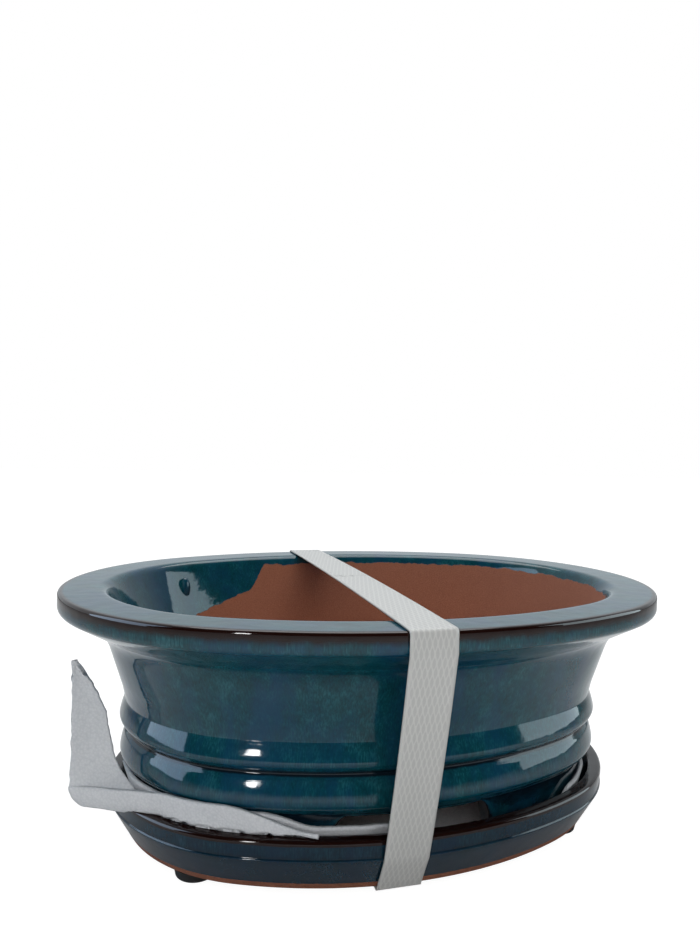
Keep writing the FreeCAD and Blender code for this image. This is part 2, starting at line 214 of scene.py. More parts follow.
def close_material(tree: bpy.types.NodeTree, inputs: dict[str | int, object]) -> None:
    """Adds the surface shader and the output that end every material.

    Args:
        tree: The material's node tree.
        inputs: The surface shader's inputs.
    """
    shader = add_node(tree, "ShaderNodeBsdfPrincipled", None, inputs)
    add_node(tree, "ShaderNodeOutputMaterial", None, {"Surface": shader.outputs[0]})


@dataclass(frozen=True)
class FiredGlaze:
    """Reduction-fired glaze on dark stoneware, poured and wiped off where the clay stays bare.

    It reads as deep glossy blue-green, mottled and finely streaked downwards. It breaks brown where it runs
    thin over an edge, and gathers almost black in grooves; the same near-black is painted as shade under the
    pot's floor and inside its foot. Bare clay is matt, gritty and red-brown.
    """

    name: str
    deep: str = "#052c34"
    body: str = "#0b4650"
    light: str = "#2f707a"
    blue: str = "#113e5c"
    edge: str = "#1e0c08"
    # Near-black of glaze pooled in grooves, also used as painted shade under the pot and inside its foot.
    pooled_and_shade: str = "#0b1822"
    clay_dark: str = "#7a4631"
    clay_light: str = "#a4684c"
    mottle_mm: float = 7.0
    streak_mm: float = 0.5
    cloud_mm: float = 22.0
    grit_mm: float = 0.5

    def glaze_colour(self, tree: bpy.types.NodeTree, place: bpy.types.NodeSocket) -> bpy.types.NodeSocket:
        """The glaze where it lies evenly: mottling crossed by fine runs that follow the way it flowed.

        Args:
            tree: The material's node tree.
            place: Object coordinates.

        Returns:
            The colour.
        """
        mottle = add_node(
            tree,
            "ShaderNodeTexNoise",
            None,
            {
                "Vector": place,
                "Scale": 1 / (self.mottle_mm * MM),
                "Detail": 7.0,
                "Roughness": 0.6,
                "Distortion": 0.4,
            },
        )
        downwards = add_node(tree, "ShaderNodeMapping", None, {"Vector": place, "Scale": (1.0, 1.0, 0.14)})
        streak = add_node(
            tree,
            "ShaderNodeTexNoise",
            None,
            {
                "Vector": downwards.outputs[0],
                "Scale": 1 / (self.streak_mm * MM),
                "Detail": 3.0,
                "Roughness": 0.55,
            },
        )
        both = add_node(
            tree,
            "ShaderNodeMix",
            {"data_type": "FLOAT"},
            {0: 0.5, 2: mottle.outputs[0], 3: streak.outputs[0]},
        )
        green = add_node(
            tree,
            "ShaderNodeValToRGB",
            None,
            {0: both.outputs[0]},
            ((0.3, self.deep), (0.52, self.body), (0.78, self.light)),
        )
        cloud = add_node(
            tree,
            "ShaderNodeTexNoise",
            None,
            {
                "Vector": downwards.outputs[0],
                "Scale": 1 / (self.cloud_mm * MM),
                "Detail": 6.0,
                "Roughness": 0.7,
            },
        )
        share = add_node(
            tree,
            "ShaderNodeMapRange",
            {"interpolation_type": "SMOOTHSTEP"},
            {"Value": cloud.outputs[0], "From Min": 0.42, "From Max": 0.66, "To Max": 0.75},
        )
        clouded = add_node(
            tree,
            "ShaderNodeMix",
            {"data_type": "RGBA"},
            {0: share.outputs[0], 6: green.outputs[0], 7: linear(self.blue)},
        )
        return clouded.outputs[2]

    def ragged_mask(
        self,
        tree: bpy.types.NodeTree,
        mark: str,
        ragged: bpy.types.NodeSocket,
        low: float,
        high: float,
    ) -> bpy.types.NodeSocket:
        """Turns one of the mesh's marks to a mask with a ragged border.

        Args:
            tree: The material's node tree.
            mark: The mark's name.
            ragged: Noise that moves the border about.
            low: Mark and noise, added up, where the mask starts.
            high: Where it is full.

        Returns:
            A mask from 0 to 1.
        """
        value = add_node(tree, "ShaderNodeAttribute", {"attribute_name": mark})
        moved = add_node(
            tree,
            "ShaderNodeMath",
            {"operation": "MULTIPLY_ADD"},
            {0: ragged, 1: 0.55, 2: value.outputs["Fac"]},
        )
        mask = add_node(
            tree,
            "ShaderNodeMapRange",
            {"interpolation_type": "SMOOTHSTEP"},
            {"Value": moved.outputs[0], "From Min": low, "From Max": high},
        )
        return mask.outputs[0]

    def make(self) -> bpy.types.Material:
        """Builds the glaze.

        Returns:
            The material.
        """
        material, tree = new_material(self.name)
        place = add_node(tree, "ShaderNodeTexCoord").outputs["Object"]
        ragged = add_node(
            tree,
            "ShaderNodeTexNoise",
            None,
            {"Vector": place, "Scale": 1 / (6.0 * MM), "Detail": 5.0, "Roughness": 0.6},
        ).outputs[0]
        thin = self.ragged_mask(tree, "thin", ragged, 0.62, 1.18)
        # The pool mark is real glaze pooling in grooves and also painted shade under the floor and inside the
        # foot's arches.
        pool_and_shade = self.ragged_mask(tree, "pool_and_shade", ragged, 0.72, 1.25)
        bare = self.ragged_mask(tree, "bare", ragged, 0.66, 0.74)

        glaze = self.glaze_colour(tree, place)
        broken = add_node(
            tree, "ShaderNodeMix", {"data_type": "RGBA"}, {0: thin, 6: glaze, 7: linear(self.edge)}
        )
        # Mixes in the pooled near-black: real pooling in grooves, and painted shadow under the pot and in the
        # arches.
        gathered_and_shaded = add_node(
            tree,
            "ShaderNodeMix",
            {"data_type": "RGBA"},
            {0: pool_and_shade, 6: broken.outputs[2], 7: linear(self.pooled_and_shade)},
        )
        grit = add_node(
            tree,
            "ShaderNodeTexNoise",
            None,
            {"Vector": place, "Scale": 1 / (self.grit_mm * MM), "Detail": 8.0, "Roughness": 0.75},
        )
        clay = add_node(
            tree,
            "ShaderNodeValToRGB",
            None,
            {0: grit.outputs[0]},
            ((0.3, self.clay_dark), (0.7, self.clay_light)),
        )
        colour = add_node(
            tree,
            "ShaderNodeMix",
            {"data_type": "RGBA"},
            {0: bare, 6: gathered_and_shaded.outputs[2], 7: clay.outputs[0]},
        )
        gloss = add_node(
            tree, "ShaderNodeMapRange", None, {"Value": ragged, "To Min": 0.04, "To Max": 0.09}
        )
        roughness = add_node(
            tree, "ShaderNodeMix", {"data_type": "FLOAT"}, {0: bare, 2: gloss.outputs[0], 3: 0.88}
        )
        ripple = add_node(
            tree,
            "ShaderNodeTexNoise",
            None,
            {"Vector": place, "Scale": 1 / (7.0 * MM), "Detail": 2.0, "Roughness": 0.4},
        )
        flowed = add_node(
            tree,
            "ShaderNodeBump",
            None,
            {"Height": ripple.outputs[0], "Distance": 0.1 * MM, "Strength": 1.0},
        )
        rough_clay = add_node(
            tree,
            "ShaderNodeBump",
            None,
            {"Height": grit.outputs[0], "Distance": 0.25 * MM, "Strength": bare, "Normal": flowed.outputs[0]},
        )
        close_material(
            tree,
            {
                "Base Color": colour.outputs[2],
                "Roughness": roughness.outputs[0],
                "IOR": 1.52,
                "Specular IOR Level": 0.42,
                "Normal": rough_clay.outputs[0],
            },
        )
        return material


@dataclass(frozen=True)
class EmbossedStrapping:
    """Polypropylene strapping, drawn white and embossed between patterned rolls while warm.

    It reads as waxy off-white, with long hollow diamonds between fine raised lines, and plain margins; the
    hollows are painted greyer as shade in the emboss.
    """

    name: str = "polypropylene_strapping_roll_embossed"
    face: str = "#d0d0cd"
    # Grey of the diamond hollows: painted shade in the emboss, not a different colour of the strapping.
    hollow_shade: str = "#c1c1bf"
    across_mm: float = 1.8
    along_mm: float = 6.4
    margin_mm: float = 0.9
    width_mm: float = 16.0

    def make(self) -> bpy.types.Material:
        """Builds the strapping.

        Returns:
            The material.
        """
        material, tree = new_material(self.name)
        across = add_node(tree, "ShaderNodeAttribute", {"attribute_name": "across"}).outputs["Fac"]
        along = add_node(tree, "ShaderNodeAttribute", {"attribute_name": "along"}).outputs["Fac"]
        turns = [
            add_node(
                tree, "ShaderNodeMath", {"operation": "MULTIPLY"}, {0: source, 1: math.pi / (pitch * MM)}
            )
            for source, pitch in ((across, self.across_mm), (along, self.along_mm))
        ]
        height = None
        for operation in ("ADD", "SUBTRACT"):
            slanted = add_node(
                tree,
                "ShaderNodeMath",
                {"operation": operation},
                {0: turns[0].outputs[0], 1: turns[1].outputs[0]},
            )
            wave = add_node(tree, "ShaderNodeMath", {"operation": "SINE"}, {0: slanted.outputs[0]})
            ridge = add_node(tree, "ShaderNodeMath", {"operation": "ABSOLUTE"}, {0: wave.outputs[0]})
            if height is None:
                height = ridge
            else:
                height = add_node(
                    tree,
                    "ShaderNodeMath",
                    {"operation": "MULTIPLY"},
                    {0: height.outputs[0], 1: ridge.outputs[0]},
                )
        from_edge = add_node(
            tree, "ShaderNodeMath", {"operation": "PINGPONG"}, {0: across, 1: self.width_mm * MM / 2}
        )
        inside = add_node(
            tree,
            "ShaderNodeMapRange",
            None,
            {
                "Value": from_edge.outputs[0],
                "From Min": self.margin_mm * MM,
                "From Max": (self.margin_mm + 0.4) * MM,
            },
        )
        hollow = add_node(
            tree,
            "ShaderNodeMapRange",
            {"interpolation_type": "SMOOTHSTEP"},
            {"Value": height.outputs[0], "From Min": 0.04, "From Max": 0.55},
        )
        pattern = add_node(
            tree, "ShaderNodeMath", {"operation": "MULTIPLY"}, {0: hollow.outputs[0], 1: inside.outputs[0]}
        )
        # The hollows are painted greyer as shade; the same pattern also drives the emboss bump below.
        colour = add_node(
            tree,
            "ShaderNodeMix",
            {"data_type": "RGBA"},
            {0: pattern.outputs[0], 6: linear(self.face), 7: linear(self.hollow_shade)},
        )
        emboss = add_node(
            tree,
            "ShaderNodeBump",
            {"invert": True},
            {"Height": pattern.outputs[0], "Distance": 0.05 * MM, "Strength": 1.0},
        )
        close_material(
            tree,
            {
                "Base Color": colour.outputs[2],
                "Roughness": 0.42,
                "IOR": 1.49,
                "Normal": emboss.outputs[0],
            },
        )
        return material


@dataclass(frozen=True)
class ExpandedFoam:
    """Polyethylene foam sheet, blown as it was extruded.

    It reads as soft matt grey-white, with closed cells about a millimetre across under a thin skin.
    """

    name: str = "polyethylene_foam_extruded"
    face: str = "#dfe1e4"
    cell_wall: str = "#ced1d5"
    cell_mm: float = 0.9

    def make(self) -> bpy.types.Material:
        """Builds the foam.

        Returns:
            The material.
        """
        material, tree = new_material(self.name)
        place = add_node(tree, "ShaderNodeTexCoord").outputs["Object"]
        cells = add_node(
            tree, "ShaderNodeTexVoronoi", None, {"Vector": place, "Scale": 1 / (self.cell_mm * MM)}
        )
        creases = add_node(
            tree,
            "ShaderNodeTexNoise",
            None,
            {"Vector": place, "Scale": 1 / (9.0 * MM), "Detail": 4.0, "Roughness": 0.6},
        )
        shade = add_node(
            tree,
            "ShaderNodeMix",
            {"data_type": "FLOAT"},
            {0: 0.5, 2: cells.outputs["Distance"], 3: creases.outputs[0]},
        )
        colour = add_node(
            tree,
            "ShaderNodeValToRGB",
            None,
            {0: shade.outputs[0]},
            ((0.3, self.face), (0.75, self.cell_wall)),
        )
        skin = add_node(
            tree,
            "ShaderNodeBump",
            {"invert": True},
            {"Height": cells.outputs["Distance"], "Distance": 0.14 * MM, "Strength": 0.8},
        )
        close_material(
            tree,
            {
                "Base Color": colour.outputs[0],
                "Roughness": 0.72,
                "IOR": 1.45,
                "Sheen Weight": 0.15,
                "Normal": skin.outputs[0],
            },
        )
        return material


@dataclass(frozen=True)
class SpeckledMatt:
    """A plain matt surface with fine grain: moulded rubber, or the film of an adhesive pad.

    Rubber reads as near-black with a dull bloom, and adhesive film as cloudy grey.
    """

    name: str
    face: str
    bloom: str
    grain_mm: float
    roughness: float

    def make(self) -> bpy.types.Material:
        """Builds the surface.

        Returns:
            The material.
        """
        material, tree = new_material(self.name)
        place = add_node(tree, "ShaderNodeTexCoord").outputs["Object"]
        grain = add_node(
            tree,
            "ShaderNodeTexNoise",
            None,
            {"Vector": place, "Scale": 1 / (self.grain_mm * MM), "Detail": 5.0, "Roughness": 0.65},
        )
        colour = add_node(
            tree, "ShaderNodeValToRGB", None, {0: grain.outputs[0]}, ((0.35, self.face), (0.75, self.bloom))
        )
        surface = add_node(
            tree, "ShaderNodeBump", None, {"Height": grain.outputs[0], "Distance": 0.08 * MM, "Strength": 1.0}
        )
        close_material(
            tree,
            {
                "Base Color": colour.outputs[0],
                "Roughness": self.roughness,
                "IOR": 1.5,
                "Normal": surface.outputs[0],
            },
        )
        return material


@dataclass(frozen=True)
class Corner:
    """A corner of a section, in millimetres, with how the glaze lies there and where shade is painted, from 0
    to 1.
    """

    inset: float
    height: float
    radius: float = 0.0
    thin: float = 0.0
    pool_and_shade: float = 0.0
    bare: float = 0.0

    @property
    def place(self) -> Vector:
        """The corner as inset and height."""
        return Vector((self.inset, self.height))

    @property
    def marks(self) -> Vector:
        """How the glaze lies there, with painted shade carried in the pool mark, in the order of MARKS."""
        return Vector((self.thin, self.pool_and_shade, self.bare))


@dataclass(frozen=True)
class OvalPlan:
    """The plan that every ring shares: four tangent arcs, set in from the rim's outline by one amount."""

    half_length: float
    half_width: float
    end_step: float = 8 * MM

    @property
    def end_radius(self) -> float:
        """Radius of the rim's two ends."""
        return self.half_width - self.end_step

    @property
    def end_axis(self) -> float:
        """How far along X the ends' centres lie."""
        return self.half_length - self.end_radius

    @property
    def side_axis(self) -> float:
        """How far along Y the long sides' centres lie, each beyond the middle."""
        return (self.end_axis**2 - self.end_step**2) / (2 * self.end_step)

    @property
    def side_radius(self) -> float:
        """Radius of the rim's two long sides."""
        return self.half_width + self.side_axis

    @property
    def joint_angle(self) -> float:
        """Direction from an end's centre, off X, in which an end arc meets a side arc."""
        return math.atan2(self.side_axis, self.end_axis)

    def on_side(self, place: Vector) -> bool:
        """True where a point belongs to a long side's arc."""
        return math.atan2(abs(place.y), abs(place.x) - self.end_axis) >= self.joint_angle

    def locate(self, place: Vector) -> tuple[Vector, Vector, float]:
        """Finds a point in the plan.

        Args:
            place: The point.

        Returns:
            Its arc's centre, the direction outwards, and how far in from the rim's outline it is.
        """
        if self.on_side(place):
            centre = Vector((0, -math.copysign(self.side_axis, place.y), 0))
            radius = self.side_radius
        else:
            centre = Vector((math.copysign(self.end_axis, place.x), 0, 0))
            radius = self.end_radius
        away = Vector((place.x - centre.x, place.y - centre.y, 0))
        return centre, away.normalized(), radius - away.length

    def put(self, vert: bmesh.types.BMVert, inset: float, height: float) -> None:
        """Moves a vertex of a ring straight in or out, and up or down.

        Args:
            vert: The vertex.
            inset: Its new place in from the rim's outline.
            height: Its new height.
        """
        centre, outward, before = self.locate(vert.co)
        reach = (vert.co - centre).to_2d().length + before - inset
        flat = centre + outward * reach
        vert.co = Vector((flat.x, flat.y, height))

    def sweep(
        self, bm: bmesh.types.BMesh, section: Sequence[bmesh.types.BMEdge], end_steps: int, side_steps: int
    ) -> None:
        """Turns a section, drawn at the right end, all the way round the oval.

        Args:
            bm: The mesh.
            section: The section's edges.
            end_steps: Steps round each end.
            side_steps: Steps along each long side.
        """
        verts = list({vert for edge in section for vert in edge.verts})
        right = Vector((self.end_axis, 0, 0))
        start = Matrix.Rotation(-self.joint_angle, 4, "Z")
        bmesh.ops.rotate(bm, verts=verts, cent=right, matrix=start)
        end_turn = 2 * self.joint_angle
        side_turn = math.pi - end_turn
        moving = [*verts, *section]
        for centre, turn, steps in (
            (right, end_turn, end_steps),
            (Vector((0, -self.side_axis, 0)), side_turn, side_steps),
            (-right, end_turn, end_steps),
            (Vector((0, self.side_axis, 0)), side_turn, side_steps),
        ):
            made = bmesh.ops.spin(bm, geom=moving, cent=centre, axis=UP, angle=turn, steps=steps)
            moving = made["geom_last"]
        bmesh.ops.remove_doubles(bm, verts=bm.verts, dist=MERGE_DISTANCE)


def rounded_places(corners: Sequence[Corner], longest: float) -> list[tuple[Vector, Vector]]:
    """Follows an open section: arcs at its rounded corners, and straight runs cut into short lengths.

    Args:
        corners: The section's corners, in order.
        longest: The longest length of a straight run, in millimetres.

    Returns:
        Each point's inset and height, in millimetres, with its marks.
    """
    arc_step = math.radians(14)
    rough = []
    for i, corner in enumerate(corners):
        if corner.radius == 0:
            rough.append((corner.place, corner.marks))
            continue
        back = (corners[i - 1].place - corner.place).normalized()
        forth = (corners[i + 1].place - corner.place).normalized()
        half = back.angle(forth) / 2
        centre = corner.place + (back + forth).normalized() * (corner.radius / math.sin(half))
        reach = corner.radius / math.tan(half)
        first = (corner.place + back * reach - centre).normalized()
        last = (corner.place + forth * reach - centre).normalized()
        steps = max(2, math.ceil((math.pi - 2 * half) / arc_step))
        rough += [
            (centre + first.slerp(last, k / steps) * corner.radius, corner.marks) for k in range(steps + 1)
        ]
    places = rough[:1]
    for place, marks in rough[1:]:
        before, before_marks = places[-1]
        parts = max(1, math.ceil((place - before).length / longest))
        places += [
            (before.lerp(place, k / parts), before_marks.lerp(marks, k / parts)) for k in range(1, parts + 1)
        ]
    return places


def draw_section(
    bm: bmesh.types.BMesh, plan: OvalPlan, corners: Sequence[Corner], longest: float
) -> list[bmesh.types.BMEdge]:
    """Draws a section at the right end of the oval, with its marks on its vertices.

    Args:
        bm: The mesh.
        plan: The oval.
        corners: The section's corners.
        longest: The longest length of a straight run, in millimetres.

    Returns:
        The section's edges.
    """
    layers = [bm.verts.layers.float.get(mark) or bm.verts.layers.float.new(mark) for mark in MARKS]
    verts = []
    for place, marks in rounded_places(corners, longest):
        vert = bm.verts.new((plan.half_length - place.x * MM, 0, place.y * MM))
        for layer, value in zip(layers, marks):
            vert[layer] = value
        verts.append(vert)
    return [bm.edges.new(pair) for pair in zip(verts, verts[1:])]


def close_levels(bm: bmesh.types.BMesh, levels: Sequence[float]) -> None:
    """Fills what is open at each level, round any hole in it.

    Args:
        bm: The mesh.
        levels: Heights, in metres.
    """
    for level in levels:
        rims = [
            edge
            for edge in bm.edges
            if edge.is_boundary and all(abs(vert.co.z - level) < MERGE_DISTANCE for vert in edge.verts)
        ]
        bmesh.ops.triangle_fill(bm, edges=rims, use_beauty=True, normal=UP)


def new_piece(bm: bmesh.types.BMesh, name: str, material: bpy.types.Material) -> bpy.types.Object:
    """Turns a mesh to a finished piece with its material.

    Args:
        bm: The mesh, which is freed.
        name: The piece's name.
        material: Its material.

    Returns:
        The piece, at the origin.
    """
    mesh = bpy.data.meshes.new(name)
    for face in bm.faces:
        face.smooth = True
    bm.to_mesh(mesh)
    bm.free()
    mesh.materials.append(material)
    piece = bpy.data.objects.new(name, mesh)
    bpy.context.scene.collection.objects.link(piece)
    return piece


@dataclass(frozen=True)
class Pot:
    """The pot: one wall with a flared rim and two mouldings, on a foot cut by two arches."""

    plan: OvalPlan
    skirt_top: Corner = Corner(27.9, 29.2, 0.8, pool_and_shade=1.0)
    skirt_foot: Corner = Corner(33.5, 10.6, 1.2, thin=1.0)
    # Painted shade: the foot's inside and the floor's underside take the full pool mark, so they turn the
    # pooled near-black as shadow under the pot and in the arches.
    foot_inside: Corner = Corner(42.5, 10.6, 1.2, pool_and_shade=1.0)
    under_corner: Corner = Corner(36.9, 30.2, 2.4, pool_and_shade=1.0)
    floor_top: float = 37.2
    core_inset: float = 62.0
    arch_half: float = 26.0
    arch_spread: float = 7.0
    arch_top: float = 28.4
    drain_reach: float = 42.0
    drain_radius: float = 7.0
    lip_glaze: float = 94.0
    poured: tuple[float, float] = (-97.0, -38.0)
    poured_edge: tuple[float, float] = (66.0, 83.5)
    nub: tuple[float, float, float] = (-73.9, 54.2, 86.4)

    @property
    def section(self) -> list[Corner]:
        """From the floor's middle up the inside, over the rim, down the outside and under the floor."""
        return [
            Corner(self.core_inset, self.floor_top, bare=1.0),
            Corner(35.1, self.floor_top, 8.0, bare=1.0),
            Corner(32.6, 63.8, 16.0, bare=1.0),
            Corner(18.0, 98.0, 4.0, thin=0.25, bare=1.0),
            Corner(14.0, 98.0, thin=0.05),
            Corner(3.0, 98.0, thin=0.1),
            Corner(0.0, 98.0, 1.2, thin=1.0),
            Corner(0.0, 95.6, thin=0.85),
            Corner(0.0, 91.0, 3.0, thin=0.3),
            Corner(17.5, 81.0, 13.0, pool_and_shade=0.45),
            Corner(24.4, 60.0, pool_and_shade=0.1),
            Corner(25.6, 54.8, 0.8, pool_and_shade=0.3),
            Corner(24.2, 51.2, 30.0),
            Corner(23.4, 47.2, 2.6),
            Corner(27.2, 43.5, 0.8, pool_and_shade=1.0),
            Corner(25.5, 41.4, 2.0),
            Corner(24.5, 38.2, 26.0),
            Corner(23.7, 33.6, 4.0),
            Corner(27.2, 30.0, thin=0.55),
            self.skirt_top,
            self.skirt_foot,
            self.foot_inside,
            self.under_corner,
            Corner(self.core_inset, self.under_corner.height, bare=1.0),
        ]

    def arch_edge(self, across: float) -> float:
        """Height of the foot's lower edge on a long side.

        Args:
            across: Distance from the middle, in millimetres.

        Returns:
            The height, in millimetres.
        """
        ground = self.skirt_foot.height
        rise = self.arch_top - ground
        flank = ground + (self.arch_half + self.arch_spread - across) / self.arch_spread * rise
        return -soft_min(-soft_min(flank, self.arch_top, 9.0), -ground, 2.5)

    def raise_arches(self, bm: bmesh.types.BMesh) -> None:
        """Draws the foot's wall up over each arch, towards where it leaves the pot.

        Args:
            bm: The swept mesh.
        """
        ground = self.skirt_foot.height
        skirt = self.skirt_top.height - ground
        for vert in bm.verts:
            height = vert.co.z / MM
            if height > self.under_corner.height - 0.05 or not self.plan.on_side(vert.co):
                continue
            inset = self.plan.locate(vert.co)[2] / MM
            low = (height - ground) / skirt
            outer = self.skirt_foot.inset + (self.skirt_top.inset - self.skirt_foot.inset) * low
            inner = self.foot_inside.inset + (self.under_corner.inset - self.foot_inside.inset) * low
            if inset < outer - 1.0:
                continue
            share = min(max((inset - outer) / (inner - outer), 0.0), 1.0)
            anchor = self.skirt_top.place.lerp(self.under_corner.place, share)
            if height > anchor.y:
                continue
            keep = (self.skirt_top.height - self.arch_edge(abs(vert.co.x) / MM)) / skirt
            placed = anchor + (Vector((inset, height)) - anchor) * keep
            self.plan.put(vert, placed.x * MM, placed.y * MM)

    def pour_inside(self, bm: bmesh.types.BMesh) -> None:
        """Marks how far down the inside is glazed: the lip all round, and lower at the left.

        Args:
            bm: The swept mesh.
        """
        bare = bm.verts.layers.float["bare"]
        fade = 7.0
        for vert in bm.verts:
            across, height = vert.co.x / MM, vert.co.z / MM
            if vert[bare] == 0 or height < self.floor_top:
                continue
            start, end = self.poured
            share = min(max((across - start) / (end - start), 0.0), 1.0)
            low, high = self.poured_edge
            lift = (self.lip_glaze - high) * blend_in(end - 3.0, end + 6.0, across)
            edge = low + (high - low) * share + lift
            vert[bare] = min(max(0.42 + (edge - height) / fade, 0.0), 1.0)

    def bore_drain(self, bm: bmesh.types.BMesh, across: float) -> None:
        """Turns the rounded wall of one drain hole.

        Args:
            bm: The mesh.
            across: Where the hole is along X, in millimetres.
        """
        bare = bm.verts.layers.float["bare"]
        flare = 1.2
        low = self.under_corner.height
        outline = [
            (self.drain_radius + flare, low),
            (self.drain_radius + 0.3 * flare, low + 0.3 * flare),
            (self.drain_radius, low + flare),
            (self.drain_radius, self.floor_top - flare),
            (self.drain_radius + 0.3 * flare, self.floor_top - 0.3 * flare),
            (self.drain_radius + flare, self.floor_top),
        ]
        verts = [bm.verts.new(((across + radius) * MM, 0, height * MM)) for radius, height in outline]
        for vert in verts:
            vert[bare] = 1.0
        edges = [bm.edges.new(pair) for pair in zip(verts, verts[1:])]
        bmesh.ops.spin(
            bm,
            geom=[*verts, *edges],
            cent=(across * MM, 0, 0),
            axis=UP,
            angle=2 * math.pi,
            steps=48,
            use_merge=True,
        )

    def hang_nub(self, bm: bmesh.types.BMesh) -> None:
        """Leaves the drop that the splashed glaze ended in, on the back wall inside.

        Args:
            bm: The mesh.
        """
        place = Vector(self.nub) * MM
        outward = self.plan.locate(place)[1]
        turn = outward.to_track_quat("X", "Z").to_matrix().to_4x4()
        shape = Matrix.Diagonal((2.6 * MM, 2.7 * MM, 5.2 * MM, 1.0))
        bmesh.ops.create_icosphere(
            bm, subdivisions=3, radius=1.0, matrix=Matrix.Translation(place) @ turn @ shape
        )

    def build(self, material: bpy.types.Material) -> bpy.types.Object:
        """Builds the pot.

        Args:
            material: Its glaze.

        Returns:
            The piece.
        """
        bm = bmesh.new()
        section = draw_section(bm, self.plan, self.section, 2.4)
        self.plan.sweep(bm, section, 84, 170)
        self.raise_arches(bm)
        self.pour_inside(bm)
        for side in (1, -1):
            self.bore_drain(bm, side * self.drain_reach)
        bmesh.ops.remove_doubles(bm, verts=bm.verts, dist=MERGE_DISTANCE)
        close_levels(bm, (self.floor_top * MM, self.under_corner.height * MM))
        bmesh.ops.recalc_face_normals(bm, faces=bm.faces)
        self.hang_nub(bm)
        return new_piece(bm, "glazed_pot_body", material)

    def dress(self) -> bpy.types.Object:
        """Builds the pot with its glaze and joins it to the frame.

        Returns:
            The piece.
        """
        piece = self.build(FiredGlaze("stoneware_pot_reduction_glazed").make())
        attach(piece, Body.POT.value)
        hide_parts("pot")
        return piece


@dataclass(frozen=True)
class Saucer:
    """The drip saucer: a tray on the pot's plan, with a stepped band under its lip."""

    plan: OvalPlan
    floor_top: float = 9.0
    base: float = 4.0
    core_inset: float = 62.0

    @property
    def section(self) -> list[Corner]:
        """From the floor's middle up the inside, over the lip, down the outside and under the base."""
        return [
            Corner(self.core_inset, self.floor_top),
            Corner(29.2, self.floor_top, 3.0, pool_and_shade=0.9),
            Corner(26.1, 20.2),
            Corner(25.0, 24.0, 1.3, thin=0.8),
            Corner(20.0, 24.0, 1.3, thin=1.0),
            Corner(20.1, 21.8, thin=0.3),
            Corner(20.5, 17.7, 0.5, pool_and_shade=0.7),
            Corner(20.0, 17.2, 0.5, thin=0.3),
            Corner(25.8, 7.0),
            Corner(26.1, 6.4, bare=1.0),
            Corner(27.5, self.base, 1.3, bare=1.0),
            Corner(self.core_inset, self.base, bare=1.0),
        ]

    def build(self, material: bpy.types.Material) -> bpy.types.Object:
        """Builds the saucer.

        Args:
            material: Its glaze.

        Returns:
            The piece.
        """
        bm = bmesh.new()
        section = draw_section(bm, self.plan, self.section, 2.4)
        self.plan.sweep(bm, section, 84, 72)
        close_levels(bm, (self.floor_top * MM, self.base * MM))
        bmesh.ops.recalc_face_normals(bm, faces=bm.faces)
        return new_piece(bm, "glazed_saucer_body", material)

    def dress(self) -> bpy.types.Object:
        """Builds the saucer with its glaze and joins it to the frame.

        Returns:
            The piece.
        """
        glaze = FiredGlaze(
            "stoneware_saucer_reduction_glazed",
            deep="#051a26",
            body="#0b2d3c",
            light="#23475a",
            blue="#0e283e",
        )
        piece = self.build(glaze.make())
        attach(piece, Body.SAUCER.value)
        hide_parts("saucer")
        return piece


